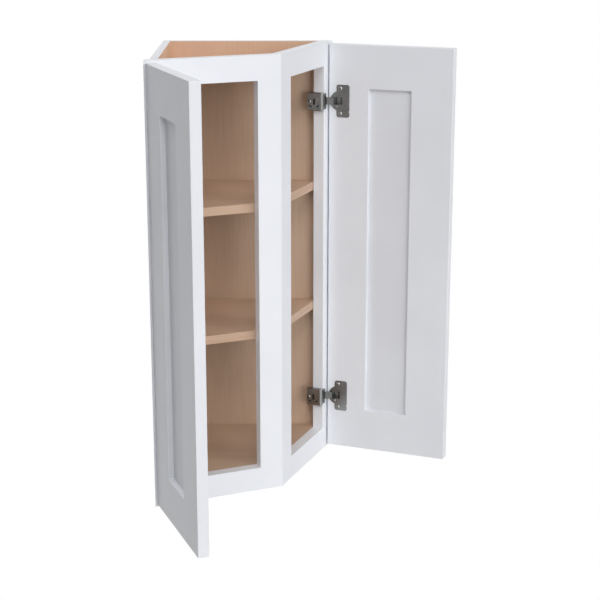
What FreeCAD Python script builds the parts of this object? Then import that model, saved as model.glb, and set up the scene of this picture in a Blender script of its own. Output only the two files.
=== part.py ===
import FreeCAD, Part
import math
import os
import re
import Sketcher
from FreeCAD import Placement, Rotation, Vector

# Angled end wall cabinet.
# Two face frames turn the end of a run of wall cabinets back to the wall, each with a framed door
# on two face-frame hinges. Behind them are a side panel, a back, two decks and two shelves.
# Millimetres and degrees. The origin is on the wall, at the middle of the bottom edge of the back.
# +X runs along the wall away from the neighbouring cabinet, +Y into the wall, +Z up.
# The doors stand open, as they are at rest.

SIZES = {
    # Cabinet outline: the footprint is as deep as it is wide, and both faces have the same length
    "cabinet_height": 762.0,
    "footprint": 308.0,
    "face_angle": 22.5,
    # Face frames, with stub tenons on the rails
    "frame_thickness": 19.05,
    "frame_stile": 41.3,
    "frame_rail": 41.3,
    "tenon_length": 12.0,
    "tenon_thickness": 6.5,
    "tenon_shoulder": 6.0,
    "mortise_end_gap": 0.5,
    # Carcass panels, let into each other by shallow dadoes
    "side_inset": 8.0,
    "side_thickness": 12.7,
    "back_thickness": 12.7,
    "deck_thickness": 12.7,
    "dado_depth": 4.0,
    # Screw holes through the back into the wall
    "wall_hole_radius": 2.75,
    "wall_hole_left": 60.0,
    "wall_hole_spacing": 150.0,
    "wall_hole_end": 62.0,
    # Shelves and the metal brackets that carry them
    "shelf_thickness": 15.0,
    "shelf_clear_height": 208.85,
    "shelf_gap": 1.0,
    "bracket_width": 10.0,
    "bracket_height": 14.0,
    "bracket_ledge": 12.0,
    "bracket_plate": 1.6,
    "bracket_peg_radius": 2.5,
    "bracket_peg_length": 8.0,
    "bracket_peg_clearance": 0.05,
    "bracket_from_wall": 60.0,
    "bracket_from_front": 50.0,
    "bracket_from_side": 55.0,
    "bracket_from_end": 45.0,
    "bracket_from_mitre": 25.0,
    # Doors: stiles and rails with eased outer edges, bevelled round a flat panel on the outer face
    "door_thickness": 19.05,
    "door_hinge_reveal": 6.3,
    "door_free_reveal": 1.4,
    "door_end_reveal": 4.0,
    "door_stile": 74.5,
    "door_rail": 76.2,
    "door_edge_ease": 1.0,
    "hinge_edge_round": 3.0,
    "panel_thickness": 5.0,
    "panel_recess": 8.0,
    "panel_bevel": 3.2,
    "groove_depth": 10.0,
    "panel_edge_gap": 1.0,
    "open_angle": 91.5,
    # Hinges: their distance from the door's ends, the gaps that let them turn, and the pin
    "hinge_from_end": 100.0,
    "hinge_running_gap": 0.4,
    "door_swing_clearance": 0.3,
    "hinge_pin_radius": 1.2,
    "hinge_pin_hold": 3.5,
    "hinge_pin_clearance": 0.05,
    "hinge_pin_seat": 0.02,
    # Hinge cup, bored into the door
    "cup_radius": 17.5,
    "cup_from_edge": 3.9,
    "cup_depth": 11.0,
    "cup_floor": 0.8,
    "cup_bore_clearance": 0.1,
    "cup_lip": 0.4,
    "flange_thickness": 1.0,
    "wing_near": 6.2,
    "wing_height": 58.0,
    "wing_corner": 4.0,
    "wing_notch_radius": 1.5,
    "wing_notch_drop": 19.0,
    "rivet_radius": 2.4,
    "rivet_height": 1.0,
    "rivet_offset": 6.1,
    "rivet_drop": 10.5,
    "ramp_overrun": 4.0,
    # Hinge arm, bent from flat steel
    "arm_thickness": 1.5,
    "arm_width": 13.0,
    "arm_bend_radius": 1.2,
    "arm_ramp_run": 6.5,
    "arm_foot_length": 10.3,
    "arm_flare_setback": 1.5,
    "arm_flare_run": 1.4,
    "arm_foot_width": 29.0,
    "arm_leg_width": 25.0,
    "arm_leg_overhang": 7.0,
    "arm_seat_gap": 0.1,
    "knuckle_radius": 2.3,
    # Hinge clip, the pressed cover over the arm's leg inside the opening
    "clip_height": 33.0,
    "clip_nose": 1.0,
    "clip_nose_radius": 4.0,
    "clip_side_radius": 2.0,
    "clip_overhang": 9.0,
    "clip_rise": 8.0,
    "clip_wall": 1.5,
    "clip_slot_width": 3.0,
    "clip_slot_height": 10.5,
    "clip_slot_offset": 6.0,
    "clip_cam_length": 5.5,
    "clip_cam_width": 2.0,
    "clip_cam_tilt": 35.0,
    "clip_cam_spread": 6.7,
    "clip_cam_drop": 8.0,
    # Screws: low rounded heads on plain shanks
    "cup_screw_spacing": 45.0,
    "cup_screw_offset": 0.8,
    "cup_screw_radius": 1.75,
    "cup_screw_length": 14.0,
    "cup_screw_head": 3.2,
    "cup_screw_head_height": 1.2,
    "clip_screw_radius": 1.95,
    "clip_screw_length": 20.0,
    "clip_screw_head": 3.6,
    "clip_screw_head_height": 2.0,
    "adjuster_radius": 1.75,
    "adjuster_overrun": 2.0,
    "adjuster_head": 2.8,
    "adjuster_head_height": 1.4,
    "adjuster_setback": 5.0,
    "screw_seat": 0.02,
    "screw_hole_clearance": 0.15,
    "screw_head_taper": 0.7,
}

# Lengths worked out from the sizes. In a face's own frame X runs along the face from its hinge end,
# Y goes into the cabinet from the face, and the door, closed, lies at negative Y.
WORKED_OUT = {
    "face_length": "footprint / (cos(face_angle) + sin(face_angle))",
    "mitre_angle": "45 - face_angle",
    "frame_back": "frame_thickness / cos(face_angle) - footprint",
    "shelf_front": "(frame_thickness + shelf_gap) / cos(face_angle) - footprint",
    "slope": "tan(face_angle)",
    "side_inner": "side_inset + side_thickness",
    "opening_end": "face_length - frame_stile",
    "upper_shelf_top": "cabinet_height - frame_rail - shelf_clear_height",
    "lower_shelf_top": "upper_shelf_top - shelf_thickness - shelf_clear_height",
    "tenon_front": "(frame_thickness - tenon_thickness) / 2",
    "tenon_back": "(frame_thickness + tenon_thickness) / 2",
    "door_gap": "flange_thickness + hinge_running_gap + arm_thickness + arm_seat_gap",
    "door_right": "face_length - door_free_reveal",
    "door_top": "cabinet_height - door_end_reveal",
    "door_inner": "-door_gap",
    "door_outer": "-door_gap - door_thickness",
    "panel_outer": "door_outer + panel_recess",
    "panel_inner": "panel_outer + panel_thickness",
    "panel_left": "door_hinge_reveal + door_stile",
    "panel_right": "door_right - door_stile",
    "panel_bottom": "door_end_reveal + door_rail",
    "panel_top": "door_top - door_rail",
    "lower_hinge": "door_end_reveal + hinge_from_end",
    "upper_hinge": "door_top - hinge_from_end",
    "pivot_depth": "cup_depth - cup_floor - hinge_running_gap - knuckle_radius",
    "corner_swing": "pivot_depth + door_gap - door_swing_clearance",
    "pivot_reach": "sqrt((corner_swing - hinge_edge_round) ^ 2 - (pivot_depth - hinge_edge_round) ^ 2)",
    "pivot_x": "door_hinge_reveal + hinge_edge_round + pivot_reach",
    "pivot_y": "door_inner - pivot_depth",
    "hinge_pin_length": "channel_width + 2 * hinge_pin_hold",
    "channel_width": "arm_width + 2 * hinge_running_gap",
    "cup_x": "door_hinge_reveal + cup_from_edge + cup_radius",
    "cup_bottom": "door_inner - cup_depth",
    "channel_bottom": "cup_bottom + cup_floor",
    "flange_top": "door_inner + flange_thickness",
    "half_arm": "arm_thickness / 2",
    "arm_foot_start": "frame_stile - arm_foot_length",
    "arm_neck_end": "arm_foot_start - arm_ramp_run",
    "arm_leg_depth": "frame_thickness + arm_leg_overhang",
    "neck_y": "pivot_y - knuckle_radius + half_arm",
    "foot_y": "-arm_seat_gap - half_arm",
    "leg_x": "frame_stile + arm_seat_gap + half_arm",
    "arm_slope": "atan2(foot_y - neck_y; arm_foot_start - arm_neck_end)",
    "arm_mitre": "tan(arm_slope / 2)",
    "ramp_offset": "neck_y - channel_bottom",
    "clip_top": "frame_stile + clip_rise",
    "clip_front": "-clip_nose",
    "clip_back": "frame_thickness + clip_overhang",
    "clip_screw_y": "frame_thickness / 2",
    "clip_slot_y": "clip_screw_y + clip_slot_offset",
    "adjuster_y": "frame_thickness + adjuster_setback",
    "adjuster_length": "clip_rise + adjuster_overrun",
    "leg_top": "leg_x + half_arm",
}

UP = Vector(0, 0, 1)
SAME_PLACE = 1e-4
TURN_TO = {
    "x": Rotation(Vector(0, 1, 0), 90),
    "-x": Rotation(Vector(0, 1, 0), -90),
    "y": Rotation(Vector(1, 0, 0), -90),
    "-y": Rotation(Vector(1, 0, 0), 90),
    "z": Rotation(),
}

doc = FreeCAD.newDocument("AngledEndWallCabinet")
sheet = doc.addObject("Spreadsheet::Sheet", "Dims")
for row, (alias, number) in enumerate(SIZES.items(), start=1):
    sheet.set(f"A{row}", alias)
    sheet.set(f"B{row}", str(number))
    sheet.setAlias(f"B{row}", alias)
doc.recompute()

pieces = {}


def bound(text):
    """Expression with each size name pointing at its cell and each worked-out name written in full."""
    def spell(match):
        word = match.group()
        if word in SIZES:
            return "Dims." + word
        if word in WORKED_OUT:
            return "(" + bound(WORKED_OUT[word]) + ")"
        return word
    return re.sub(r"[a-z][a-z_]*[a-z]", spell, str(text))


def value(text):
    """Number that an expression of size names gives."""
    return float(sheet.evalExpression(bound(text)))


def new_body(label, place):
    """Empty body for one piece, in its place and listed under its name."""
    body = doc.addObject("PartDesign::Body", label)
    body.Label = label
    body.Placement = place
    pieces[label] = body
    return body


def move(feature, corner):
    """Ties a feature's place to the sheet."""
    for axis, text in zip("xyz", corner):
        feature.setExpression(f"Placement.Base.{axis}", bound(text))


def box(body, low, high, cut=False):
    """Block between two corners, added to the body or cut from it."""
    kind = "Subtractive" if cut else "Additive"
    block = body.newObject(f"PartDesign::{kind}Box", "Block")
    for side, first, last in zip(("Length", "Width", "Height"), low, high):
        block.setExpression(side, bound(f"({last}) - ({first})"))
    move(block, low)


def cylinder(body, base, axis, radius, height, cut=False):
    """Round bar from its base along an axis, added to the body or cut from it."""
    kind = "Subtractive" if cut else "Additive"
    bar = body.newObject(f"PartDesign::{kind}Cylinder", "Bar")
    bar.setExpression("Radius", bound(radius))
    bar.setExpression("Height", bound(height))
    bar.Placement = Placement(Vector(), TURN_TO[axis])
    move(bar, base)


def outline_sketch(body, plane, outlines):
    """Sketch of closed outlines with straight sides, each corner tied to the sheet."""
    sketch = body.newObject("Sketcher::SketchObject", "Outline")
    role = next(item for item in body.Origin.OriginFeatures if item.Role == plane)
    sketch.AttachmentSupport = (role, [""])
    sketch.MapMode = "FlatFace"
    for corners in outlines:
        first = sketch.GeometryCount
        count = len(corners)
        points = [Vector(value(x), value(y), 0) for x, y in corners]
        for index, point in enumerate(points):
            sketch.addGeometry(Part.LineSegment(point, points[(index + 1) % count]), False)
        for index, (x, y) in enumerate(corners):
            line = first + index
            following = first + (index + 1) % count
            sketch.addConstraint(Sketcher.Constraint("Coincident", line, 2, following, 1))
            for kind, text in (("DistanceX", x), ("DistanceY", y)):
                datum = Sketcher.Constraint(kind, -1, 1, line, 1, value(text))
                number = sketch.addConstraint(datum)
                sketch.setExpression(f"Constraints[{number}]", bound(text))
    return sketch


def prism(body, corners, bottom, top, cut=False):
    """Upright prism on a plan outline, added to the body or cut from it."""
    sketch = outline_sketch(body, "XY_Plane", [corners])
    sketch.setExpression("AttachmentOffset.Base.z", bound(bottom))
    feature = body.newObject("PartDesign::Pocket" if cut else "PartDesign::Pad", "Prism")
    feature.Profile = sketch
    feature.Reversed = cut
    feature.setExpression("Length", bound(f"({top}) - ({bottom})"))


def round_edges(body, lines, radius):
    """Fillet on straight edges, each given by the axis it runs along and its two other coordinates."""
    doc.recompute()
    base = body.Tip
    names = []
    for number, edge in enumerate(base.Shape.Edges, start=1):
        for axis, place in lines:
            across = [index for index in range(3) if index != "xyz".index(axis)]
            wanted = [value(text) for text in place]
            ends = [[vertex.Point[index] for index in across] for vertex in edge.Vertexes]
            if all(math.dist(end, wanted) < SAME_PLACE for end in ends):
                names.append(f"Edge{number}")
    fillet = body.newObject("PartDesign::Fillet", "Round")
    fillet.Base = (base, names)
    fillet.setExpression("Radius", bound(radius))


def screw(place, size):
    """One screw: a low tapered head above its seat and a plain shank below it."""
    head = doc.addObject("Part::Cone", "ScrewHead")
    head.setExpression("Radius1", bound(f"{size}_head * screw_head_taper"))
    head.setExpression("Radius2", bound(f"{size}_head"))
    head.setExpression("Height", bound(f"{size}_head_height"))
    lift = Placement(Vector(0, 0, -value(f"{size}_head_height")), Rotation())
    head.Placement = place.multiply(lift)
    shank = doc.addObject("Part::Cylinder", "ScrewShank")
    shank.setExpression("Radius", bound(f"{size}_radius"))
    shank.setExpression("Height", bound(f"{size}_length"))
    shank.Placement = place
    whole = doc.addObject("Part::MultiFuse", "Screw")
    whole.Shapes = [head, shank]
    return whole


def group(label, members):
    """Identical pieces under one name, each still its own solid."""
    compound = doc.addObject("Part::Compound", label)
    compound.Label = label
    compound.Links = members
    pieces[label] = compound


def spot(x, y, z, axis="z"):
    """Place at a point of a frame, with its own Z turned along an axis."""
    return Placement(Vector(value(x), value(y), value(z)), TURN_TO[axis])


# Frames that the pieces are drawn in: the carcass's plan, the left face, and the left door as it
# stands open, turned about the hinge pivot from where it is closed
carcass_place = Placement(Vector(-value("footprint") / 2, 0, 0), Rotation())
face_place = Placement(
    Vector(-value("footprint") / 2, -value("footprint"), 0), Rotation(UP, value("face_angle"))
)
pivot = Vector(value("pivot_x"), value("pivot_y"), 0)
door_place = face_place.multiply(Placement(Vector(), Rotation(UP, -value("open_angle")), pivot))

HINGES = {"upper": "upper_hinge", "lower": "lower_hinge"}
SHELVES = {"upper": "upper_shelf_top", "lower": "lower_shelf_top"}
DECKS = {
    "bottom_panel": ("frame_rail - deck_thickness", "frame_rail"),
    "top_panel": ("cabinet_height - frame_rail", "cabinet_height - frame_rail + deck_thickness"),
}
RAILS = {
    "bottom": ("0", "frame_rail", "door_end_reveal", "panel_bottom"),
    "top": ("cabinet_height - frame_rail", "cabinet_height", "panel_top", "door_top"),
}
# Places of the shelf brackets, by their distance from the wall on the side panel and by their
# distance from the neighbouring cabinet on the back
SIDE_PEGS = ("-bracket_from_wall", "frame_back + side_inner * slope + bracket_from_front")
BACK_PEGS = (
    "side_inner + bracket_from_side",
    "-frame_back - back_thickness * slope - bracket_from_end",
)


def peg_height(top):
    """Height of a bracket's peg below the shelf that it carries."""
    return f"{top} - shelf_thickness - bracket_height / 2"


def peg_hole(body, base, axis):
    """Blind hole for a bracket's peg."""
    radius = "bracket_peg_radius + bracket_peg_clearance"
    cylinder(body, base, axis, radius, "bracket_peg_length", cut=True)


def carcass():
    """Side, back and decks, drawn in plan from the plane where the neighbouring cabinet ends."""
    side = new_body("left_side_panel", carcass_place)
    corners = [
        ("side_inset", "frame_back + side_inset * slope"),
        ("side_inner", "frame_back + side_inner * slope"),
        ("side_inner", "0"),
        ("side_inset", "0"),
    ]
    prism(side, corners, "0", "cabinet_height")
    back = new_body("back_panel", carcass_place)
    corners = [
        ("side_inner", "-back_thickness"),
        ("-frame_back - back_thickness * slope", "-back_thickness"),
        ("-frame_back", "0"),
        ("side_inner", "0"),
    ]
    prism(back, corners, "0", "cabinet_height")
    for label, (bottom, top) in DECKS.items():
        low = ("side_inner - dado_depth", "-footprint", bottom)
        box(side, low, ("side_inner", "dado_depth - back_thickness", top), cut=True)
        low = ("side_inner", "-back_thickness", bottom)
        box(back, low, ("footprint", "dado_depth - back_thickness", top), cut=True)
        deck = new_body(label, carcass_place)
        corners = [
            ("side_inner - dado_depth", "dado_depth - back_thickness"),
            ("side_inner - dado_depth", "frame_back + (side_inner - dado_depth) * slope"),
            ("-frame_back / (1 + slope)", "frame_back / (1 + slope)"),
            ("-frame_back + (dado_depth - back_thickness) * slope", "dado_depth - back_thickness"),
        ]
        prism(deck, corners, bottom, top)
    for x in ("wall_hole_left", "wall_hole_left + wall_hole_spacing"):
        for z in ("wall_hole_end", "cabinet_height - wall_hole_end"):
            base = (x, "-back_thickness", z)
            cylinder(back, base, "y", "wall_hole_radius", "back_thickness", cut=True)
    for top in SHELVES.values():
        for y in SIDE_PEGS:
            peg_hole(side, ("side_inner", y, peg_height(top)), "-x")
        for x in BACK_PEGS:
            peg_hole(back, (x, "-back_thickness", peg_height(top)), "y")


def bracket(place):
    """Shelf bracket on a wall at its own X = 0: a ledge, a plate down the wall and a peg in it."""
    ledge = doc.addObject("Part::Box", "Ledge")
    ledge.setExpression("Length", bound("bracket_ledge"))
    ledge.setExpression("Height", bound("bracket_plate"))
    plate = doc.addObject("Part::Box", "Plate")
    plate.setExpression("Length", bound("bracket_plate"))
    plate.setExpression("Height", bound("bracket_height"))
    for slab, drop in ((ledge, "bracket_plate"), (plate, "bracket_height")):
        slab.setExpression("Width", bound("bracket_width"))
        slab.Placement = place.multiply(spot("0", "-bracket_width / 2", f"-{drop}"))
    peg = doc.addObject("Part::Cylinder", "Peg")
    peg.setExpression("Radius", bound("bracket_peg_radius"))
    peg.setExpression("Height", bound("bracket_peg_length"))
    peg.Placement = place.multiply(spot("0", "0", "-bracket_height / 2", "-x"))
    whole = doc.addObject("Part::MultiFuse", "Bracket")
    whole.Shapes = [ledge, plate, peg]
    return whole


def shelves():
    """Shelves a little clear of the walls, each on brackets in the side, back and centre stile."""
    corners = [
        ("side_inner + shelf_gap", "-back_thickness - shelf_gap"),
        ("side_inner + shelf_gap", "shelf_front + (side_inner + shelf_gap) * slope"),
        ("-shelf_front / (1 + slope)", "shelf_front / (1 + slope)"),
        ("-shelf_front - (back_thickness + shelf_gap) * slope", "-back_thickness - shelf_gap"),
    ]
    for name, top in SHELVES.items():
        underside = f"{top} - shelf_thickness"
        prism(new_body(f"{name}_shelf", carcass_place), corners, underside, top)
        seats = [carcass_place.multiply(spot("side_inner", y, underside)) for y in SIDE_PEGS]
        facing_front = Placement(Vector(), Rotation(UP, -90))
        for x in BACK_PEGS:
            seat = carcass_place.multiply(spot(x, "-back_thickness", underside))
            seats.append(seat.multiply(facing_front))
        corner = spot("face_length - bracket_from_mitre", "frame_thickness", underside)
        facing_back = Placement(Vector(), Rotation(UP, 90))
        seats.append(face_place.multiply(corner).multiply(facing_back))
        group(f"{name}_shelf_brackets", [bracket(seat) for seat in seats])


def left_frame():
    """Left face frame: the outer stile cut to the neighbour's plane, the inner one mitred."""
    hinge_stile = new_body("left_frame_hinge_stile", face_place)
    corners = [
        ("0", "0"),
        ("frame_stile", "0"),
        ("frame_stile", "frame_thickness"),
        ("frame_thickness * slope", "frame_thickness"),
    ]
    prism(hinge_stile, corners, "0", "cabinet_height")
    centre_stile = new_body("left_frame_centre_stile", face_place)
    corners = [
        ("opening_end", "0"),
        ("face_length", "0"),
        ("face_length - frame_thickness * tan(mitre_angle)", "frame_thickness"),
        ("opening_end", "frame_thickness"),
    ]
    prism(centre_stile, corners, "0", "cabinet_height")
    for name, (bottom, top, _, _) in RAILS.items():
        low = f"{bottom} + tenon_shoulder"
        high = f"{top} - tenon_shoulder"
        start = "frame_stile - tenon_length - mortise_end_gap"
        box(hinge_stile, (start, "tenon_front", low), ("frame_stile", "tenon_back", high), cut=True)
        end = "opening_end + tenon_length + mortise_end_gap"
        box(centre_stile, ("opening_end", "tenon_front", low), (end, "tenon_back", high), cut=True)
        rail = new_body(f"left_frame_{name}_rail", face_place)
        box(rail, ("frame_stile", "0", bottom), ("opening_end", "frame_thickness", top))
        tenon_start = ("frame_stile - tenon_length", "tenon_front", low)
        box(rail, tenon_start, ("opening_end + tenon_length", "tenon_back", high))
    for height in HINGES.values():
        base = ("frame_stile", "clip_screw_y", height)
        radius = "clip_screw_radius + screw_seat"
        cylinder(hinge_stile, base, "-x", radius, "clip_screw_length", cut=True)
    for top in SHELVES.values():
        base = ("face_length - bracket_from_mitre", "frame_thickness", peg_height(top))
        peg_hole(centre_stile, base, "-y")


def bevel_opening(member):
    """Bevel round the panel's opening on the door's outer face, cut from one stile or rail."""
    bevel = member.newObject("PartDesign::SubtractiveWedge", "Bevel")
    sides = {
        "Xmin": "panel_left - panel_bevel",
        "Xmax": "panel_right + panel_bevel",
        "Zmin": "panel_bottom - panel_bevel",
        "Zmax": "panel_top + panel_bevel",
        "Ymin": "door_outer",
        "Ymax": "panel_outer",
        "X2min": "panel_left",
        "X2max": "panel_right",
        "Z2min": "panel_bottom",
        "Z2max": "panel_top",
    }
    for side, text in sides.items():
        bevel.setExpression(side, bound(text))


def left_door():
    """Left door: grooved, bevelled stiles and rails with stub tenons, and a flat panel in the grooves."""
    faces = ("door_outer", "door_inner")
    ends = {"bottom": "door_end_reveal", "top": "door_top"}
    stiles = {
        "hinge": ("door_hinge_reveal", "panel_left", "panel_left - groove_depth", "panel_left"),
        "free": ("panel_right", "door_right", "panel_right", "panel_right + groove_depth"),
    }
    for name, (left, right, groove_left, groove_right) in stiles.items():
        stile = new_body(f"left_door_{name}_stile", door_place)
        box(stile, (left, "door_outer", "door_end_reveal"), (right, "door_inner", "door_top"))
        side = left if name == "hinge" else right
        lines = [("z", (side, "door_outer"))]
        if name == "hinge":
            round_edges(stile, [("z", (side, "door_inner"))], "hinge_edge_round")
        else:
            lines += [("z", (side, "door_inner"))]
        lines += [("x", (face, end)) for face in faces for end in ends.values()]
        lines += [("y", (side, end)) for end in ends.values()]
        round_edges(stile, lines, "door_edge_ease")
        low = (groove_left, "panel_outer", "door_end_reveal")
        box(stile, low, (groove_right, "panel_inner", "door_top"), cut=True)
        bevel_opening(stile)
    grooves = {
        "bottom": ("panel_bottom - groove_depth", "panel_bottom"),
        "top": ("panel_top", "panel_top + groove_depth"),
    }
    tenons = {
        "bottom": ("door_end_reveal", "panel_bottom - groove_depth"),
        "top": ("panel_top + groove_depth", "door_top"),
    }
    for name, (_, _, bottom, top) in RAILS.items():
        rail = new_body(f"left_door_{name}_rail", door_place)
        box(rail, ("panel_left", "door_outer", bottom), ("panel_right", "door_inner", top))
        round_edges(rail, [("x", (face, ends[name])) for face in faces], "door_edge_ease")
        low, high = grooves[name]
        box(rail, ("panel_left", "panel_outer", low), ("panel_right", "panel_inner", high), cut=True)
        low, high = tenons[name]
        start = ("panel_left - groove_depth", "panel_outer", low)
        box(rail, start, ("panel_right + groove_depth", "panel_inner", high))
        bevel_opening(rail)
    panel = new_body("left_door_panel", door_place)
    low = ("panel_left - groove_depth + panel_edge_gap", "panel_outer")
    high = ("panel_right + groove_depth - panel_edge_gap", "panel_inner")
    box(
        panel,
        (*low, "panel_bottom - groove_depth + panel_edge_gap"),
        (*high, "panel_top + groove_depth - panel_edge_gap"),
    )
    hinge_stile = pieces["left_door_hinge_stile"]
    for height in HINGES.values():
        base = ("cup_x", "door_inner", height)
        radius = "cup_radius + cup_bore_clearance"
        cylinder(hinge_stile, base, "-y", radius, "cup_depth", cut=True)
        for z in screw_heights(height):
            base = ("cup_x + cup_screw_offset", "door_inner", z)
            radius = "cup_screw_radius + screw_seat"
            cylinder(hinge_stile, base, "-y", radius, "cup_screw_length", cut=True)


def screw_heights(height):
    """Heights of the two screws above and below a hinge cup."""
    return [f"{height} + cup_screw_spacing / 2", f"{height} - cup_screw_spacing / 2"]


def hinge_cup(label, height):
    """Cup with a winged, riveted flange and a channel whose ramp clears the arm with the door shut."""
    cup = new_body(label, door_place)
    wing_right = "cup_x + cup_radius + cup_lip"
    wing_left = "cup_x - wing_near"
    low = f"{height} - wing_height / 2"
    high = f"{height} + wing_height / 2"
    box(cup, (wing_left, "door_inner", low), (wing_right, "flange_top", high))
    lines = [("y", (x, z)) for x in (wing_left, wing_right) for z in (low, high)]
    round_edges(cup, lines, "wing_corner")
    base = (wing_right, "door_inner", f"{height} - wing_notch_drop")
    cylinder(cup, base, "y", "wing_notch_radius", "flange_thickness", cut=True)
    cylinder(cup, ("cup_x", "door_inner", height), "y", "cup_radius + cup_lip", "flange_thickness")
    cylinder(cup, ("cup_x", "cup_bottom", height), "y", "cup_radius", "cup_depth")
    rivet = cup.newObject("PartDesign::AdditiveSphere", "Rivet")
    rivet.setExpression("Radius", bound("rivet_radius"))
    rivet_y = "flange_top + rivet_height - rivet_radius"
    move(rivet, ("cup_x - rivet_offset", rivet_y, f"{height} - rivet_drop"))
    near = "pivot_x - knuckle_radius - hinge_running_gap"
    ramp_end_x = "arm_foot_start + ramp_offset * arm_mitre + ramp_overrun * cos(arm_slope)"
    ramp_end_y = "foot_y - ramp_offset + ramp_overrun * sin(arm_slope)"
    corners = [
        (near, "0"),
        (near, "channel_bottom"),
        ("arm_neck_end + ramp_offset * arm_mitre", "channel_bottom"),
        (ramp_end_x, ramp_end_y),
    ]
    bottom = f"{height} - channel_width / 2"
    prism(cup, corners, bottom, f"{height} + channel_width / 2", cut=True)
    base = ("pivot_x", "pivot_y", f"{height} - hinge_pin_length / 2")
    cylinder(cup, base, "z", "hinge_pin_radius + hinge_pin_seat", "hinge_pin_length", cut=True)
    for z in screw_heights(height):
        base = ("cup_x + cup_screw_offset", "door_inner", z)
        radius = "cup_screw_radius + screw_hole_clearance"
        cylinder(cup, base, "y", radius, "flange_thickness", cut=True)


def hinge_arm(label, height):
    """Swan-necked arm: a knuckle on the pin, a neck, a flared foot on the stile and a leg round it."""
    arm = new_body(label, face_place)
    bend = "half_arm * arm_mitre"
    neck = {
        "outer": (f"arm_neck_end + {bend}", "neck_y - half_arm"),
        "inner": (f"arm_neck_end - {bend}", "neck_y + half_arm"),
    }
    foot = {
        "outer": (f"arm_foot_start + {bend}", "foot_y - half_arm"),
        "inner": (f"arm_foot_start - {bend}", "foot_y + half_arm"),
    }
    corner = ("leg_top", "foot_y - half_arm")
    corners = [
        ("pivot_x", "neck_y - half_arm"),
        neck["outer"],
        foot["outer"],
        corner,
        ("leg_top", "arm_leg_depth"),
        ("leg_x - half_arm", "arm_leg_depth"),
        ("leg_x - half_arm", "foot_y + half_arm"),
        foot["inner"],
        neck["inner"],
        ("pivot_x", "neck_y + half_arm"),
    ]
    prism(arm, corners, f"{height} - arm_foot_width / 2", f"{height} + arm_foot_width / 2")
    outside = "arm_bend_radius + arm_thickness"
    round_edges(arm, [("z", place) for place in (neck["inner"], foot["outer"])], "arm_bend_radius")
    round_edges(arm, [("z", place) for place in (neck["outer"], foot["inner"], corner)], outside)
    trim = []
    for sign in ("+", "-"):
        half_neck = f"{height} {sign} arm_width / 2"
        half_foot = f"{height} {sign} arm_foot_width / 2"
        half_leg = f"{height} {sign} arm_leg_width / 2"
        beyond = f"{height} {sign} arm_foot_width"
        trim.append([
            ("0", half_neck),
            ("arm_foot_start + arm_flare_setback", half_neck),
            ("arm_foot_start + arm_flare_setback + arm_flare_run", half_foot),
            ("frame_stile", half_leg),
            ("clip_top", half_leg),
            ("clip_top", beyond),
            ("0", beyond),
        ])
    pocket = arm.newObject("PartDesign::Pocket", "Flare")
    pocket.Profile = outline_sketch(arm, "XZ_Plane", trim)
    pocket.SideType = "Symmetric"
    pocket.Type = "ThroughAll"
    base = ("pivot_x", "pivot_y", f"{height} - arm_width / 2")
    cylinder(arm, base, "z", "knuckle_radius", "arm_width")
    cylinder(arm, base, "z", "hinge_pin_radius + hinge_pin_clearance", "arm_width", cut=True)
    for y, radius in (("clip_screw_y", "clip_screw_radius"), ("adjuster_y", "adjuster_radius")):
        base = ("leg_x - half_arm", y, height)
        cylinder(arm, base, "x", f"{radius} + screw_hole_clearance", "arm_thickness", cut=True)


def cam_slot(y, z, tilt):
    """Corners of a narrow slot in the clip's face, tilted about its middle."""
    corners = []
    for along, across in ((1, 1), (-1, 1), (-1, -1), (1, -1)):
        run = f"{along} * clip_cam_length / 2"
        rise = f"{across} * clip_cam_width / 2"
        corners.append((
            f"{y} + {run} * cos({tilt}) - {rise} * sin({tilt})",
            f"{z} + {run} * sin({tilt}) + {rise} * cos({tilt})",
        ))
    return corners


def hinge_clip(label, height):
    """Pressed cover over the arm's leg, open behind, with a rounded nose and slots in its face."""
    clip = new_body(label, face_place)
    low = f"{height} - clip_height / 2"
    high = f"{height} + clip_height / 2"
    box(clip, ("frame_stile", "clip_front", low), ("clip_top", "clip_back", high))
    round_edges(clip, [("z", ("clip_top", "clip_front"))], "clip_nose_radius")
    round_edges(clip, [("y", ("clip_top", z)) for z in (low, high)], "clip_side_radius")
    inside = "clip_top - clip_wall"
    nose_inside = "clip_front + clip_wall"
    walls = (f"{low} + clip_wall", f"{high} - clip_wall")
    box(clip, ("frame_stile", nose_inside, walls[0]), (inside, "clip_back", walls[1]), cut=True)
    round_edges(clip, [("z", (inside, nose_inside))], "clip_nose_radius - clip_wall")
    mouth = "arm_leg_width / 2 + hinge_running_gap"
    mouth_low = ("frame_stile", "clip_front", f"{height} - ({mouth})")
    mouth_high = ("leg_top + hinge_running_gap", nose_inside, f"{height} + {mouth}")
    box(clip, mouth_low, mouth_high, cut=True)
    slot_low = (inside, "clip_slot_y - clip_slot_width / 2", f"{height} - clip_slot_height / 2")
    slot_high = ("clip_top", "clip_slot_y + clip_slot_width / 2", f"{height} + clip_slot_height / 2")
    box(clip, slot_low, slot_high, cut=True)
    base = (inside, "adjuster_y", height)
    cylinder(clip, base, "x", "adjuster_radius + screw_hole_clearance", "clip_wall", cut=True)
    cam_z = f"{height} - clip_cam_drop"
    cams = [
        cam_slot("clip_slot_y + clip_cam_spread", cam_z, "clip_cam_tilt"),
        cam_slot("clip_slot_y - clip_cam_spread", cam_z, "-clip_cam_tilt"),
    ]
    pocket = clip.newObject("PartDesign::Pocket", "Cams")
    pocket.Profile = outline_sketch(clip, "YZ_Plane", cams)
    pocket.SideType = "Symmetric"
    pocket.Type = "ThroughAll"


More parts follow.
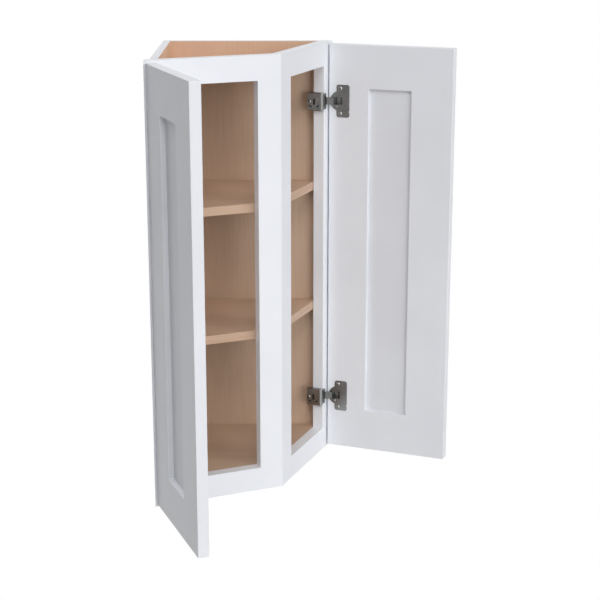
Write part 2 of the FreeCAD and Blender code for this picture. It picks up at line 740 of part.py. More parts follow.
def left_hinges():
    """Both hinges of the left door, with their pins and screws."""
    cup_screws = []
    clip_screws = []
    adjusters = []
    for name, height in HINGES.items():
        hinge_cup(f"left_{name}_hinge_cup", height)
        hinge_arm(f"left_{name}_hinge_arm", height)
        hinge_clip(f"left_{name}_hinge_clip", height)
        pin = new_body(f"left_{name}_hinge_pin", door_place)
        base = ("pivot_x", "pivot_y", f"{height} - hinge_pin_length / 2")
        cylinder(pin, base, "z", "hinge_pin_radius", "hinge_pin_length")
        for z in screw_heights(height):
            seat = spot("cup_x + cup_screw_offset", "flange_top", z, "-y")
            cup_screws.append(screw(door_place.multiply(seat), "cup_screw"))
        seat = spot("leg_top", "clip_screw_y", height, "-x")
        clip_screws.append(screw(face_place.multiply(seat), "clip_screw"))
        seat = spot("clip_top", "adjuster_y", height, "-x")
        adjusters.append(screw(face_place.multiply(seat), "adjuster"))
    group("left_hinge_cup_screws", cup_screws)
    group("left_hinge_clip_screws", clip_screws)
    group("left_hinge_adjusters", adjusters)


def mirror_to_right():
    """Right frame, door and hinges: the left ones mirrored in the plane through the middle corner."""
    handed = [label for label in pieces if label.startswith("left_") and label != "left_side_panel"]
    for label in handed:
        twin_label = label.replace("left_", "right_", 1)
        twin = doc.addObject("Part::Mirroring", twin_label)
        twin.Label = twin_label
        twin.Source = pieces[label]
        twin.Normal = Vector(1, 1, 0)
        twin.setExpression("Base.x", bound("-footprint / 2"))
        pieces[twin_label] = twin


def write_pieces():
    """Stops on any failed feature or bad solid, then writes one file for each piece."""
    doc.recompute()
    failed = [item.Label for item in doc.Objects if {"Invalid", "Error"} & set(item.State)]
    if failed:
        raise RuntimeError(f"failed features: {failed}")
    for label, piece in pieces.items():
        if piece.Shape.isNull() or not piece.Shape.isValid() or not piece.Shape.Solids:
            raise RuntimeError(f"bad solid: {label}")
    os.makedirs("parts", exist_ok=True)
    for label, piece in pieces.items():
        piece.Shape.exportStep(f"parts/{label}.step")
        print(label, len(piece.Shape.Solids), round(piece.Shape.Volume))


carcass()
shelves()
left_frame()
left_door()
left_hinges()
mirror_to_right()
write_pieces()
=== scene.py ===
"""Finishes, cross-headed screws, light and camera for the angled end wall cabinet, on its CAD frame."""
import logging
import math
from dataclasses import dataclass
from enum import Enum

import bmesh
import bpy
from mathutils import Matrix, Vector


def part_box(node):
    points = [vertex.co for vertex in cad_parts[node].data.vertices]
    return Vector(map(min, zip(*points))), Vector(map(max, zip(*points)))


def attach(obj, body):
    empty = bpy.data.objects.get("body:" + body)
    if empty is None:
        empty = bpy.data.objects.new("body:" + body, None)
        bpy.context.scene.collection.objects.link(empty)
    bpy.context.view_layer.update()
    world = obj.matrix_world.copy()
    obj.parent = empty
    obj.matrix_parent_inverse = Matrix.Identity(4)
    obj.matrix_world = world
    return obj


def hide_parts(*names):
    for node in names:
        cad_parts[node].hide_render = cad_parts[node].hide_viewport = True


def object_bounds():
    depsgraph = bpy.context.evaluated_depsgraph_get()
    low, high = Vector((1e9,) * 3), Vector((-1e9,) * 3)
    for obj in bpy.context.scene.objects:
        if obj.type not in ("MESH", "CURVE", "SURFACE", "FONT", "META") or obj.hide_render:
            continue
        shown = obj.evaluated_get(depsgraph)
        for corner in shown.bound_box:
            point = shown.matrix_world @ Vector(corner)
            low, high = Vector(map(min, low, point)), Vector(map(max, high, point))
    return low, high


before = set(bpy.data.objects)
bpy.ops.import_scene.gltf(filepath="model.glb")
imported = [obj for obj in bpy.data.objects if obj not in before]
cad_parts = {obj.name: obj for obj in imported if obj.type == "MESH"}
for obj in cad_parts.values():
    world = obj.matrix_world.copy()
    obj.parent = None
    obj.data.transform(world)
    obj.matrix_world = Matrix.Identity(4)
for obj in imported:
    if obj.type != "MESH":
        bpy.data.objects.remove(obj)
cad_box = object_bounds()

log = logging.getLogger("cabinet")

MM = 0.001
UP = Vector((0.0, 0.0, 1.0))

# Socket numbers of a Mix node, which has separate sockets for numbers and for colours
MIX_FACTOR = 0
MIX_NUMBERS = (2, 3)
MIX_COLOURS = (6, 7)
MIX_NUMBER_OUT = 0
MIX_COLOUR_OUT = 2

Colour = tuple[float, float, float, float]


class Grain(Enum):
    """Row axes that a veneer's grain is drawn out along; level grain follows a shelf's edges all round."""

    ALONG_WALL = (0,)
    UPRIGHT = (2,)
    LEVEL = (0, 1)


class Inner(Enum):
    """Direction that the veneered face of a board looks in."""

    AWAY_FROM_NEIGHBOUR = (1, 0, 0)
    AWAY_FROM_WALL = (0, -1, 0)
    UP = (0, 0, 1)


class Reach(Enum):
    """What a lamp does: whether it lights surfaces, and whether it is mirrored in them."""

    LIGHTS = (True, False)
    MIRRORED = (False, True)
    BOTH = (True, True)


class Use(Enum):
    """What a pattern does to a finish: it lays a colour over the ground, roughens it or raises it."""

    COVER = "cover"
    ROUGHNESS = "roughness"
    HEIGHT = "height"


class ScrewKind(Enum):
    """Kinds of hinge screws, by the ends of their nodes' names."""

    CUP = "cup_screws"
    CLIP = "clip_screws"
    ADJUSTER = "adjusters"


class ScrewFace(Enum):
    """Material numbers of a screw's faces."""

    METAL = 0
    RECESS = 1


class Hand(Enum):
    """Hand of a door and its hinges; right-hand pieces mirror left-hand ones about the plan's diagonal."""

    LEFT = "left"
    RIGHT = "right"

    def turned(self, degrees: float) -> Vector:
        """Returns a level direction on this hand, from its turn off the row's X axis on the left hand."""
        along, across = math.cos(math.radians(degrees)), math.sin(math.radians(degrees))
        return Vector((along, across, 0.0)) if self is Hand.LEFT else Vector((-across, -along, 0.0))


def linear(colour: str) -> Colour:
    """Turns an sRGB hex colour to linear.

    Args:
        colour: six hex digits after a hash sign.

    Returns:
        Red, green, blue and an alpha of 1, as shader sockets take them.
    """
    shares = [int(colour[start:start + 2], 16) / 255 for start in (1, 3, 5)]
    bent = [s / 12.92 if s <= 0.04045 else ((s + 0.055) / 1.055) ** 2.4 for s in shares]
    return (*bent, 1.0)


def add_node(tree: bpy.types.NodeTree, kind: str, inputs: dict[str | int, object] | None = None,
             **settings: object) -> bpy.types.Node:
    """Adds a node with its settings, values and links.

    Args:
        tree: node tree that gets the node.
        kind: the node's type name.
        inputs: socket name or number to a value, or to the output socket to link from.
        settings: the node's own properties.

    Returns:
        The new node.
    """
    node = tree.nodes.new(kind)
    for name, setting in settings.items():
        setattr(node, name, setting)
    for socket, value in (inputs or {}).items():
        if isinstance(value, bpy.types.NodeSocket):
            tree.links.new(value, node.inputs[socket])
        else:
            node.inputs[socket].default_value = value
    return node


@dataclass(frozen=True)
class Surface:
    """Outputs that a finish gives its shader: colour, roughness and height in millimetres."""

    colour: Colour | bpy.types.NodeSocket
    roughness: bpy.types.NodeSocket
    height: bpy.types.NodeSocket


@dataclass(frozen=True)
class Finish:
    """A surface finish that makes one material."""

    name: str
    metallic: float = 0.0

    def surface(self, tree: bpy.types.NodeTree) -> Surface:
        """Adds the finish's pattern nodes to a tree; each finish has its own."""
        raise NotImplementedError

    def material(self) -> bpy.types.Material:
        """Builds the finish's material.

        Returns:
            A material with one shader, fed by the finish's own pattern.
        """
        material = bpy.data.materials.new(self.name)
        material.use_nodes = True
        tree = material.node_tree
        tree.nodes.clear()
        surface = self.surface(tree)
        bump = add_node(tree, "ShaderNodeBump", {"Height": surface.height, "Distance": MM, "Strength": 1.0})
        shader = add_node(tree, "ShaderNodeBsdfPrincipled", {
            "Base Color": surface.colour,
            "Roughness": surface.roughness,
            "Metallic": self.metallic,
            "Normal": bump.outputs["Normal"],
        })
        add_node(tree, "ShaderNodeOutputMaterial", {"Surface": shader.outputs["BSDF"]})
        return material


@dataclass(frozen=True)
class Pattern:
    """Marks of one kind on a finish, drawn as noise.

    A use goes from its first value to its second as the noise goes from start to end. Noise mostly lies
    between 0.3 and 0.7, so a start near the upper one leaves only scattered marks.
    """

    width_mm: float
    uses: dict[Use, tuple[float, float]]
    colour: str | None = None
    # How many times a mark is drawn out along each row axis
    stretch: tuple[float, float, float] = (1.0, 1.0, 1.0)
    start: float = 0.3
    end: float = 0.7
    detail: float = 2.0
    distortion: float = 0.0


@dataclass(frozen=True)
class Coat(Finish):
    """A finish that is one ground colour with patterns laid over it."""

    colour: str = "#FFFFFF"

    def patterns(self) -> tuple[Pattern, ...]:
        """Gives the patterns in the order that they are laid; each coat has its own."""
        raise NotImplementedError

    def surface(self, tree: bpy.types.NodeTree) -> Surface:
        """Lays the patterns over the ground colour.

        Args:
            tree: the material's node tree.

        Returns:
            The coat's colour, roughness and height.
        """
        place = add_node(tree, "ShaderNodeTexCoord").outputs["Object"]
        colour: Colour | bpy.types.NodeSocket = linear(self.colour)
        amounts: dict[Use, bpy.types.NodeSocket] = {}
        for pattern in self.patterns():
            across = 1 / (pattern.width_mm * MM)
            drawn = add_node(tree, "ShaderNodeMapping", {
                "Vector": place,
                "Scale": [across / times for times in pattern.stretch],
            })
            noise = add_node(tree, "ShaderNodeTexNoise", {
                "Vector": drawn.outputs["Vector"],
                "Scale": 1.0,
                "Detail": pattern.detail,
                "Distortion": pattern.distortion,
            })
            for use, (low, high) in pattern.uses.items():
                amount = add_node(tree, "ShaderNodeMapRange", {
                    "Value": noise.outputs["Fac"],
                    "From Min": pattern.start,
                    "From Max": pattern.end,
                    "To Min": low,
                    "To Max": high,
                })
                amounts[use] = amount.outputs["Result"]
            if Use.COVER in pattern.uses:
                laid = {
                    MIX_FACTOR: amounts[Use.COVER],
                    MIX_COLOURS[0]: colour,
                    MIX_COLOURS[1]: linear(pattern.colour),
                }
                colour = add_node(tree, "ShaderNodeMix", laid, data_type="RGBA").outputs[MIX_COLOUR_OUT]
        return Surface(colour, amounts[Use.ROUGHNESS], amounts[Use.HEIGHT])


@dataclass(frozen=True)
class SprayedPaint(Coat):
    """White satin lacquer sprayed on hardwood and MDF.

    It gives the eye an even cool white with a soft sheen, a faint orange peel that breaks up reflections,
    and a barely seen drift of tone over a hand's width.
    """

    colour: str = "#EDEFF4"
    shade: str = "#E8EAEF"
    roughness: tuple[float, float] = (0.38, 0.46)
    drift_mm: float = 140.0
    peel_mm: float = 2.4
    peel_height_mm: float = 0.012
    peel_detail: float = 1.0

    def patterns(self) -> tuple[Pattern, ...]:
        """Gives the drift of tone and the orange peel.

        Returns:
            Both patterns.
        """
        peel_uses = {Use.ROUGHNESS: self.roughness, Use.HEIGHT: (0.0, self.peel_height_mm)}
        return (
            Pattern(self.drift_mm, {Use.COVER: (0.0, 1.0)}, self.shade),
            Pattern(self.peel_mm, peel_uses, detail=self.peel_detail),
        )


@dataclass(frozen=True)
class MapleVeneer(Coat):
    """Rotary-cut maple veneer under a thin clear coat.

    It gives the eye a warm, pale, fairly even tan: broad soft bands, fine straight streaks along the grain
    and a few short darker flecks, with a low sheen.
    """

    grain: Grain = Grain.UPRIGHT
    colour: str = "#C6AD97"
    band: str = "#C0A58E"
    streak: str = "#B89C85"
    fleck: str = "#A08672"
    roughness: tuple[float, float] = (0.42, 0.52)
    # Widths across the grain, and how many times longer each mark is along it
    # Real streaks are under a millimetre wide and flecks finer: both are drawn coarser, so that they show
    band_mm: float = 38.0
    band_times: float = 26.0 / 3.0
    streak_mm: float = 3.2
    streak_times: float = 26.0
    fleck_mm: float = 1.6
    fleck_times: float = 9.0
    # Most that a mark covers of the colour under it, and the noise values over which it comes up
    streak_cover: float = 0.55
    streak_noise: tuple[float, float] = (0.42, 0.72)
    fleck_cover: float = 0.5
    fleck_noise: tuple[float, float] = (0.64, 0.78)
    pore_depth_mm: float = 0.03
    fibre_detail: float = 3.0
    fibre_distortion: float = 0.3

    def along(self, times: float) -> tuple[float, ...]:
        """Returns how many times a mark is drawn out along each row axis."""
        return tuple(times if axis in self.grain.value else 1.0 for axis in range(3))

    def patterns(self) -> tuple[Pattern, ...]:
        """Gives the bands, streaks and flecks.

        Returns:
            The patterns, from the broadest to the finest.
        """
        fibre = {"detail": self.fibre_detail, "distortion": self.fibre_distortion}
        streak_uses = {Use.COVER: (0.0, self.streak_cover), Use.ROUGHNESS: self.roughness}
        fleck_uses = {Use.COVER: (0.0, self.fleck_cover), Use.HEIGHT: (0.0, -self.pore_depth_mm)}
        return (
            Pattern(self.band_mm, {Use.COVER: (0.0, 1.0)}, self.band, self.along(self.band_times), **fibre),
            Pattern(self.streak_mm, streak_uses, self.streak, self.along(self.streak_times),
                    *self.streak_noise, **fibre),
            Pattern(self.fleck_mm, fleck_uses, self.fleck, self.along(self.fleck_times),
                    *self.fleck_noise, **fibre),
        )


@dataclass(frozen=True)
class NickelPlate(Coat):
    """Nickel plate on pressed steel, barrel-plated to a half-bright satin.

    It gives the eye a grey metal that softly mirrors what is near it, brown by the wood and pale by the
    doors, with a slightly cloudy tone, and dark in the pressed hollows.
    """

    metallic: float = 1.0
    colour: str = "#A3A5A3"
    shade: str = "#979997"
    roughness: tuple[float, float] = (0.17, 0.25)
    cloud_mm: float = 9.0
    # Real dimples from the barrel are about a tenth of a millimetre wide: drawn coarser, so that they show
    tumble_mm: float = 0.8
    tumble_height_mm: float = 0.002

    def patterns(self) -> tuple[Pattern, ...]:
        """Gives the cloudy tone and the tumbled dimples.

        Returns:
            Both patterns.
        """
        cloud_uses = {Use.COVER: (0.0, 1.0), Use.ROUGHNESS: self.roughness}
        return (
            Pattern(self.cloud_mm, cloud_uses, self.shade),
            Pattern(self.tumble_mm, {Use.HEIGHT: (0.0, self.tumble_height_mm)}),
        )


@dataclass(frozen=True, kw_only=True)
class FacedBoard(Finish):
    """Board with maple veneer on the face that looks inwards and another finish on the rest.

    It gives the eye a warm wood face that stops at a crisp edge, white on the carcass and banded with veneer
    on the shelves. Above the top panel, in the recess over the cupboard, the veneer is painted paler and
    warmer: painted light for the recess.
    """

    inner: Inner
    rest: Finish
    veneer: MapleVeneer
    # Paler veneer for faces above the top panel: painted light for the recess over the cupboard
    recess_painted_light: MapleVeneer | None = None
    # Least cosine between a face's direction and the inner one at which the face is veneered
    facing_least: float = 0.5

    def surface(self, tree: bpy.types.NodeTree) -> Surface:
        """Adds the finishes and picks one by the way that the face looks.

        Args:
            tree: the material's node tree.

        Returns:
            The board's colour, roughness and height.
        """
        rest = self.rest.surface(tree)
        veneer = self.veneer.surface(tree)
        place = add_node(tree, "ShaderNodeTexCoord").outputs
        wood = veneer.colour
        # Above the top panel the paler veneer is laid: painted light for the recess
        if self.recess_painted_light is not None:
            level = add_node(tree, "ShaderNodeSeparateXYZ", {"Vector": place["Object"]}).outputs["Z"]
            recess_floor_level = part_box("top_panel")[1][2]
            above = add_node(tree, "ShaderNodeMath", {0: level, 1: recess_floor_level}, operation="GREATER_THAN")
            recess_painted_light = self.recess_painted_light.surface(tree).colour
            recess_light_mix = {MIX_FACTOR: above.outputs["Value"], MIX_COLOURS[0]: wood, MIX_COLOURS[1]: recess_painted_light}
            wood = add_node(tree, "ShaderNodeMix", recess_light_mix, data_type="RGBA").outputs[MIX_COLOUR_OUT]
        dot = add_node(tree, "ShaderNodeVectorMath", {0: place["Normal"], 1: self.inner.value},
                       operation="DOT_PRODUCT")
        inside = add_node(tree, "ShaderNodeMath", {0: dot.outputs["Value"], 1: self.facing_least},
                          operation="GREATER_THAN")
        factor = inside.outputs["Value"]
        faced = {MIX_FACTOR: factor, MIX_COLOURS[0]: rest.colour, MIX_COLOURS[1]: wood}
        colour = add_node(tree, "ShaderNodeMix", faced, data_type="RGBA").outputs[MIX_COLOUR_OUT]
        numbers = []
        for first, second in ((rest.roughness, veneer.roughness), (rest.height, veneer.height)):
            faced = {MIX_FACTOR: factor, MIX_NUMBERS[0]: first, MIX_NUMBERS[1]: second}
            numbers.append(add_node(tree, "ShaderNodeMix", faced).outputs[MIX_NUMBER_OUT])
        return Surface(colour, *numbers)


def dress(node: str, material: bpy.types.Material) -> None:
    """Puts a material on a CAD node.

    Args:
        node: the node's name.
        material: the material for all of its faces.
    """
    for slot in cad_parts[node].material_slots:
        slot.material = material
    log.info("%s: %s", node, material.name)


@dataclass
class Carcass:
    """Side, back, decks and shelves."""

    paint: SprayedPaint

    def dress(self) -> None:
        """Veneers the inner faces and the shelves."""
        boards = {
            "left_side_panel": (Inner.AWAY_FROM_NEIGHBOUR, Grain.UPRIGHT),
            "back_panel": (Inner.AWAY_FROM_WALL, Grain.UPRIGHT),
            "bottom_panel": (Inner.UP, Grain.ALONG_WALL),
        }
        for node, (inner, grain) in boards.items():
            veneer = MapleVeneer("carcass_veneer", grain=grain)
            board = FacedBoard(f"{node}_board", inner=inner, rest=self.paint, veneer=veneer,
                               recess_painted_light=self.recess_painted_light(grain))
            dress(node, board.material())
        # The shelves' tops are painted paler and pinker than the carcass, painted light for faces that look
        # up and catch less of it; their edges are darker again
        face = MapleVeneer("shelf_veneer_painted_light", grain=Grain.ALONG_WALL, colour="#CDB099", band="#CAAD95",
                           streak="#C3A58D", fleck="#AB8D78")
        edge = MapleVeneer("shelf_edge_band", grain=Grain.LEVEL, colour="#C5A78F", band="#BF9F87",
                           streak="#B7967D", fleck="#9F816B")
        shelf = FacedBoard("maple_shelf_board", inner=Inner.UP, rest=edge, veneer=face).material()
        for node in ("upper_shelf", "lower_shelf"):
            dress(node, shelf)
        # The top panel is all paler veneer: painted light for the floor of the recess
        dress("top_panel", self.recess_painted_light(Grain.ALONG_WALL).material())

    def recess_painted_light(self, grain: Grain) -> MapleVeneer:
        """Returns the veneer of the recess over the top, painted paler and warmer than the inside's: painted
        light for the recess.
        """
        return MapleVeneer("recess_veneer_painted_light", grain=grain, colour="#D9B89F", band="#D3B096",
                           streak="#CBA78D", fleck="#B08F79")


@dataclass
class FramesAndDoors:
    """Painted face frames and doors."""

    paint: SprayedPaint
    # Greyer paint for the sunk panels: painted shade for their recess
    panel_paint: SprayedPaint

    def dress(self) -> None:
        """Paints every stile, rail and panel."""
        members = self.paint.material()
        panels = self.panel_paint.material()
        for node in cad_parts:
            if node.endswith("_door_panel"):
                dress(node, panels)
            elif "_frame_" in node or "_door_" in node:
                dress(node, members)


@dataclass(frozen=True)
class ScrewSize:
    """Radius and rise of a screw's head, and radius and length of its shank."""

    head_mm: float
    rise_mm: float
    shank_mm: float
    length_mm: float


@dataclass
class CrossScrews:
    """One kind of screw on one hand: low heads with an eased rim and a cross recess, and plain shanks."""

    hand: Hand
    kind: ScrewKind
    body: str
    # Direction out of the wood on the left hand, and heights on the cabinet in metres
    out_deg: float
    heights: list[float]
    size: ScrewSize
    # Radius of a head's top, as a share of the head's
    taper: float = 0.7
    # Ease of the head's upper rim, and the rim's points in shares of it, outwards and down
    ease_mm: float = 0.35
    rim: tuple[tuple[float, float], ...] = ((-1.0, 0.0), (-0.3, 0.2), (0.2, 1.0))
    # Width and depth of a slot, the flat metal at its ends, and its floor's size as a share of its mouth's
    slot_mm: float = 0.9
    depth_mm: float = 0.9
    land_mm: float = 0.56
    draft: float = 0.75
    # Where the first screw's slots stopped, and how much further each next one was driven
    first_turn_deg: float = 15.0
    driven_turn_deg: float = 37.0
    # How far above or below its middle a screw's own points are looked for
    search_mm: float = 5.0
    # Edges that turn by more than this stay sharp
    sharp_deg: float = 50.0
    # Points round a head
    steps: int = 32

    def node(self) -> str:
        """Returns the name of the CAD node that these screws stand for."""
        return f"{self.hand.value}_hinge_{self.kind.value}"

    def axes(self) -> tuple[Vector, Vector]:
        """Returns the directions out of the wood and level across the heads."""
        out = self.hand.turned(self.out_deg)
        return out, out.cross(UP)

    def top(self, height: float) -> Vector:
        """Finds the middle of a head's top in the CAD node.

        Args:
            height: the screw's height on the cabinet.

        Returns:
            The point, in the row frame.
        """
        out, side = self.axes()
        points = [vertex.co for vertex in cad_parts[self.node()].data.vertices]
        near = [point for point in points if abs(point.z - height) < self.search_mm * MM]
        across = [point.dot(side) for point in near]
        level = max(point.dot(out) for point in near)
        return out * level + side * (min(across) + max(across)) / 2 + UP * height

    def ring(self, shell: bmesh.types.BMesh, top: Vector, level_mm: float,
             outline: list[tuple[float, float]]) -> list[bmesh.types.BMVert]:
        """Adds one closed outline square to a screw's axis.

        Args:
            shell: mesh that gets the points.
            top: middle of the head's top.
            level_mm: depth of the outline below the top.
            outline: its points, sideways and upwards from the axis, in millimetres.

        Returns:
            The new points, in order.
        """
        out, side = self.axes()
        centre = top - out * level_mm * MM
        return [shell.verts.new(centre + (side * x + UP * y) * MM) for x, y in outline]

    def skin(self, shell: bmesh.types.BMesh, rings: list[list[bmesh.types.BMVert]],
             finish: ScrewFace) -> None:
        """Joins outlines with bands of faces and closes the last one.

        Args:
            shell: mesh that gets the faces.
            rings: outlines of as many points each.
            finish: the faces' material; metal is shaded smooth.
        """
        for upper, lower in zip(rings, rings[1:]):
            for first, second in zip(range(len(upper)), [*range(1, len(upper)), 0]):
                face = shell.faces.new((upper[first], upper[second], lower[second], lower[first]))
                face.material_index = finish.value
                face.smooth = finish is ScrewFace.METAL
        shell.faces.new(rings[-1]).material_index = finish.value

    def shaft(self, shell: bmesh.types.BMesh, top: Vector) -> list[bmesh.types.BMVert]:
        """Adds a screw's head and shank, open at the top.

        Args:
            shell: mesh that gets them.
            top: middle of the head's top.

        Returns:
            The outline of the open top.
        """
        size = self.size
        flat = size.head_mm * self.taper
        rim = [(flat + across * self.ease_mm, down * self.ease_mm) for across, down in self.rim]
        shank = [(size.shank_mm, size.rise_mm), (size.shank_mm, size.rise_mm + size.length_mm)]
        turns = [math.tau * step / self.steps for step in range(self.steps)]
        rings = [self.ring(shell, top, level, [(radius * math.cos(a), radius * math.sin(a)) for a in turns])
                 for radius, level in [*rim, (size.head_mm, size.rise_mm), *shank]]
        self.skin(shell, rings, ScrewFace.METAL)
        return rings[0]

    def recess(self, shell: bmesh.types.BMesh, top: Vector, turn: float) -> list[bmesh.types.BMVert]:
        """Adds a cross recess, open at its mouth.

        Args:
            shell: mesh that gets it.
            top: middle of the head's top.
            turn: angle that the screw was driven to.

        Returns:
            The outline of the mouth.
        """
        end = self.size.head_mm * self.taper - self.land_mm
        half = self.slot_mm / 2
        arm = ((end, -half), (end, half), (half, half))
        quarters = [turn + quarter * math.pi / 2 for quarter in range(4)]
        cross = [(x * math.cos(a) - y * math.sin(a), x * math.sin(a) + y * math.cos(a))
                 for a in quarters for x, y in arm]
        rings = [self.ring(shell, top, level, [(x * share, y * share) for x, y in cross])
                 for level, share in ((0.0, 1.0), (self.depth_mm, self.draft))]
        self.skin(shell, rings, ScrewFace.RECESS)
        return rings[0]

    def screw(self, shell: bmesh.types.BMesh, top: Vector, turn: float) -> None:
        """Adds one screw, its top filled between the rim and the recess.

        Args:
            shell: mesh that gets the screw.
            top: middle of the head's top.
            turn: angle that the screw was driven to.
        """
        outlines = (self.shaft(shell, top), self.recess(shell, top, turn))
        edges = [shell.edges.get((outline[step - 1], outline[step]))
                 for outline in outlines for step in range(len(outline))]
        bmesh.ops.triangle_fill(shell, edges=edges, use_beauty=True, normal=self.axes()[0])

    def build(self, material: bpy.types.Material, shadow: bpy.types.Material) -> None:
        """Builds the screws where the CAD has them.

        Args:
            material: the screws' finish.
            shadow: the painted shade inside the recesses.
        """
        shell = bmesh.new()
        for count, height in enumerate(self.heights):
            turn = math.radians(self.first_turn_deg + count * self.driven_turn_deg)
            self.screw(shell, self.top(height), turn)
        bmesh.ops.recalc_face_normals(shell, faces=shell.faces)
        mesh = bpy.data.meshes.new(f"{self.node()}_crossed")
        shell.to_mesh(mesh)
        shell.free()
        for finish in (material, shadow):
            mesh.materials.append(finish)
        mesh.set_sharp_from_angle(angle=math.radians(self.sharp_deg))
        piece = bpy.data.objects.new(mesh.name, mesh)
        bpy.context.scene.collection.objects.link(piece)
        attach(piece, self.body)
        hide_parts(self.node())
        log.info("%s: %s", piece.name, material.name)


@dataclass
class Hardware:
    """Hinges, their screws and the shelf brackets."""

    plate: NickelPlate
    # A darker grey nickel than the cups' and clips' plate
    arm_plate: NickelPlate
    screw_plate: NickelPlate
    # Nearly black plate in the screws' recesses: painted shade
    recess_plate: NickelPlate
    cup_screw: ScrewSize = ScrewSize(head_mm=3.2, rise_mm=1.2, shank_mm=1.75, length_mm=14.0)
    clip_screw: ScrewSize = ScrewSize(head_mm=3.6, rise_mm=2.0, shank_mm=1.95, length_mm=20.0)
    adjuster: ScrewSize = ScrewSize(head_mm=2.8, rise_mm=1.4, shank_mm=1.75, length_mm=10.0)
    # Height of a cup screw over or under the middle of its hinge
    wing_mm: float = 22.5
    # Directions that heads look in on the left hand: square to the open door, and to the stile's edge
    door_out_deg: float = 21.0
    frame_out_deg: float = 22.5

    def dress(self) -> None:
        """Plates every metal piece and builds the screws."""
        finishes = (self.plate, self.arm_plate, self.screw_plate, self.recess_plate)
        plate, arm_plate, bright, shadow = (finish.material() for finish in finishes)
        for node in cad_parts:
            if node.endswith(("hinge_cup", "hinge_clip", "brackets")):
                dress(node, plate)
            elif node.endswith(("hinge_arm", "hinge_pin")):
                dress(node, arm_plate)
        for hand in Hand:
            for screws in self.screws(hand):
                screws.build(plate if screws.kind is ScrewKind.ADJUSTER else bright, shadow)

    def screws(self, hand: Hand) -> tuple[CrossScrews, ...]:
        """Gives the screws of one hand's hinges.

        Args:
            hand: hand of the door that they carry.

        Returns:
            The cup screws, which ride on the door, and the clip screws and adjusters, which do not.
        """
        boxes = [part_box(f"{hand.value}_{level}_hinge_cup") for level in ("lower", "upper")]
        hinges = [(low[2] + high[2]) / 2 for low, high in boxes]
        wings = [hinge + sign * self.wing_mm * MM for hinge in hinges for sign in (-1, 1)]
        return (
            CrossScrews(hand, ScrewKind.CUP, f"{hand.value}_door", self.door_out_deg, wings, self.cup_screw),
            CrossScrews(hand, ScrewKind.CLIP, "cabinet", self.frame_out_deg, hinges, self.clip_screw),
            CrossScrews(hand, ScrewKind.ADJUSTER, "cabinet", self.frame_out_deg, hinges, self.adjuster),
        )


@dataclass
class SoftBox:
    """A square lamp that looks at the cabinet's middle; azimuth 0 is in front, and 90 at its right."""

    name: str
    azimuth_deg: float
    elevation_deg: float
    watts: float
    reach: Reach = Reach.LIGHTS
    side_m: float = 6.4
    distance_m: float = 14.0

    def place(self, middle: Vector) -> None:
        """Adds the lamp.

        Args:
            middle: point that the lamp looks at.
        """
        data = bpy.data.lights.new(self.name, "AREA")
        data.shape = "SQUARE"
        data.size = self.side_m
        data.energy = self.watts
        lamp = bpy.data.objects.new(self.name, data)
        bpy.context.scene.collection.objects.link(lamp)
        azimuth = math.radians(self.azimuth_deg)
        elevation = math.radians(self.elevation_deg)
        level = self.distance_m * math.cos(elevation)
        rise = self.distance_m * math.sin(elevation)
        out = Vector((level * math.sin(azimuth), -level * math.cos(azimuth), rise))
        lamp.location = middle + out
        lamp.rotation_euler = (-out).to_track_quat("-Z", "Y").to_euler()
        lamp.visible_camera = False
        lamp.visible_diffuse, lamp.visible_glossy = self.reach.value


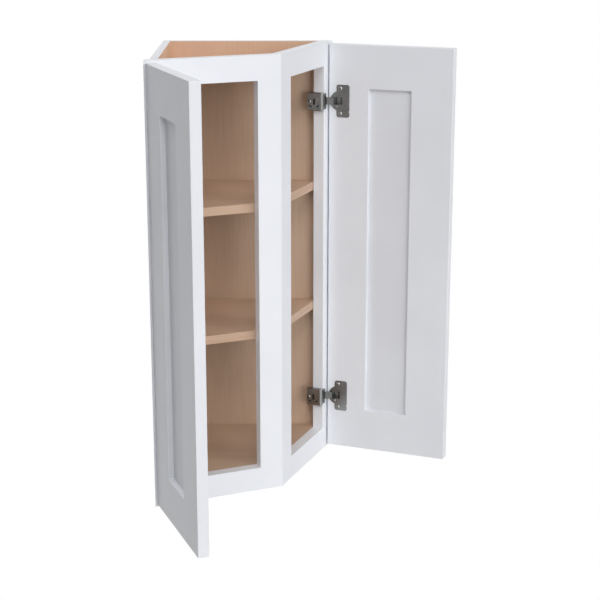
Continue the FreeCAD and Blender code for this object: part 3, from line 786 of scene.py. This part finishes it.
@dataclass
class Studio:
    """Pale floor as far below as under a hung wall cabinet, soft lamps, white surround and the camera."""

    floor_drop_m: float = 1.372
    floor_radius_m: float = 1.9
    floor_steps: int = 96
    floor_colour: str = "#F1F1EF"
    # Share of plain white in the floor as it is seen; the rest shows the cabinet's shadow
    floor_white: float = 0.65
    white: str = "#FFFFFF"
    # Strength of the surround where it lights surfaces; where it is seen or mirrored it is 1
    ambient: float = 0.163
    # Camera fitted to the photograph: place in metres in the row frame, turn, and focal length in pixels
    camera_place: tuple[float, float, float] = (0.0788, -2.7031, 1.0456)
    camera_pitch_deg: float = 15.78
    camera_yaw_deg: float = -0.37
    focal_px: float = 1505.5
    picture_px: float = 600.0
    sensor_mm: float = 36.0
    lamps: tuple[SoftBox, ...] = (
        SoftBox("key", azimuth_deg=0.0, elevation_deg=45.0, watts=754.0),
        SoftBox("fill", azimuth_deg=30.0, elevation_deg=5.0, watts=628.0),
        SoftBox("side", azimuth_deg=60.0, elevation_deg=25.0, watts=588.0, reach=Reach.BOTH),
        SoftBox("back_left", azimuth_deg=-145.0, elevation_deg=20.0, watts=650.0),
        SoftBox("back_right", azimuth_deg=160.0, elevation_deg=20.0, watts=650.0),
        SoftBox("sparkle", azimuth_deg=85.0, elevation_deg=55.0, watts=600.0, reach=Reach.MIRRORED,
                side_m=2.4),
    )

    def build(self) -> None:
        """Adds the floor, the surround, the lamps and the camera."""
        self.floor()
        self.surround()
        low, high = (Vector(corner) for corner in cad_box)
        for lamp in self.lamps:
            lamp.place((low + high) / 2)
        self.camera()
        bpy.context.scene.view_settings.view_transform = "Standard"

    def floor(self) -> None:
        """Adds a plain matt round floor, nearly white where it is seen."""
        turns = [math.tau * step / self.floor_steps for step in range(self.floor_steps)]
        radius = self.floor_radius_m
        edge = [(math.cos(turn) * radius, math.sin(turn) * radius, -self.floor_drop_m) for turn in turns]
        mesh = bpy.data.meshes.new("floor")
        mesh.from_pydata(edge, [], [range(self.floor_steps)])
        floor = bpy.data.objects.new("floor", mesh)
        bpy.context.scene.collection.objects.link(floor)
        material = bpy.data.materials.new("pale_matt_floor")
        material.use_nodes = True
        tree = material.node_tree
        tree.nodes.clear()
        matt = add_node(tree, "ShaderNodeBsdfDiffuse", {"Color": linear(self.floor_colour)})
        white = add_node(tree, "ShaderNodeEmission", {"Color": linear(self.white), "Strength": 1.0})
        share = add_node(tree, "ShaderNodeMath", {0: self.seen(tree), 1: self.floor_white},
                         operation="MULTIPLY")
        mixed = add_node(tree, "ShaderNodeMixShader", {
            0: share.outputs["Value"],
            1: matt.outputs["BSDF"],
            2: white.outputs["Emission"],
        })
        add_node(tree, "ShaderNodeOutputMaterial", {"Surface": mixed.outputs["Shader"]})
        mesh.materials.append(material)

    def seen(self, tree: bpy.types.NodeTree) -> bpy.types.NodeSocket:
        """Tells rays that show the surround, mirrored ones too, from rays that gather light.

        Args:
            tree: node tree of the floor or the world.

        Returns:
            1 for a ray that shows the surround, 0 for one that lights a surface.
        """
        rays = add_node(tree, "ShaderNodeLightPath").outputs
        shown = rays["Is Camera Ray"]
        for kind in ("Is Glossy Ray", "Is Transmission Ray"):
            either = add_node(tree, "ShaderNodeMath", {0: shown, 1: rays[kind]}, operation="MAXIMUM")
            shown = either.outputs["Value"]
        return shown

    def surround(self) -> None:
        """Makes the world white where it is seen or mirrored, and a soft fill elsewhere."""
        world = bpy.data.worlds.new("white_surround")
        bpy.context.scene.world = world
        world.use_nodes = True
        tree = world.node_tree
        tree.nodes.clear()
        strength = add_node(tree, "ShaderNodeMapRange", {"Value": self.seen(tree), "To Min": self.ambient})
        background = add_node(tree, "ShaderNodeBackground", {
            "Color": linear(self.white),
            "Strength": strength.outputs["Result"],
        })
        add_node(tree, "ShaderNodeOutputWorld", {"Surface": background.outputs["Background"]})

    def camera(self) -> None:
        """Adds the camera at the photograph's place."""
        data = bpy.data.cameras.new("camera")
        data.sensor_width = self.sensor_mm
        data.lens = self.focal_px / self.picture_px * self.sensor_mm
        camera = bpy.data.objects.new("camera", data)
        bpy.context.scene.collection.objects.link(camera)
        camera.location = self.camera_place
        pitch = math.radians(90 - self.camera_pitch_deg)
        camera.rotation_euler = (pitch, 0.0, math.radians(self.camera_yaw_deg))
        bpy.context.scene.camera = camera


def main() -> None:
    """Dresses the cabinet and sets the studio."""
    logging.basicConfig(level=logging.INFO, format="%(name)s: %(message)s")
    paint = SprayedPaint("white_satin_lacquer")
    Carcass(paint).dress()
    # The sunk panels are painted a shade greyer than the rails and stiles round them: painted shade for
    # their recess
    panel_paint = SprayedPaint("panel_lacquer_painted_shade", colour="#E7E9EE", shade="#E2E4E9")
    FramesAndDoors(paint, panel_paint).dress()
    # Arms look darker than cups and clips, screws brighter, and the screws' recesses are painted nearly
    # black: painted shade in the hollows
    arm_plate = NickelPlate("darker_nickel_plate", colour="#767676", shade="#6C6C6C")
    screw_plate = NickelPlate("bright_nickel_plate", colour="#BEBEBA", shade="#B2B2AE",
                              roughness=(0.24, 0.32))
    recess_plate = NickelPlate("recess_plate_painted_shade", colour="#3E3E3B", shade="#323230")
    Hardware(NickelPlate("satin_nickel_plate"), arm_plate, screw_plate, recess_plate).dress()
    Studio().build()


if __name__ == "__main__":
    main()
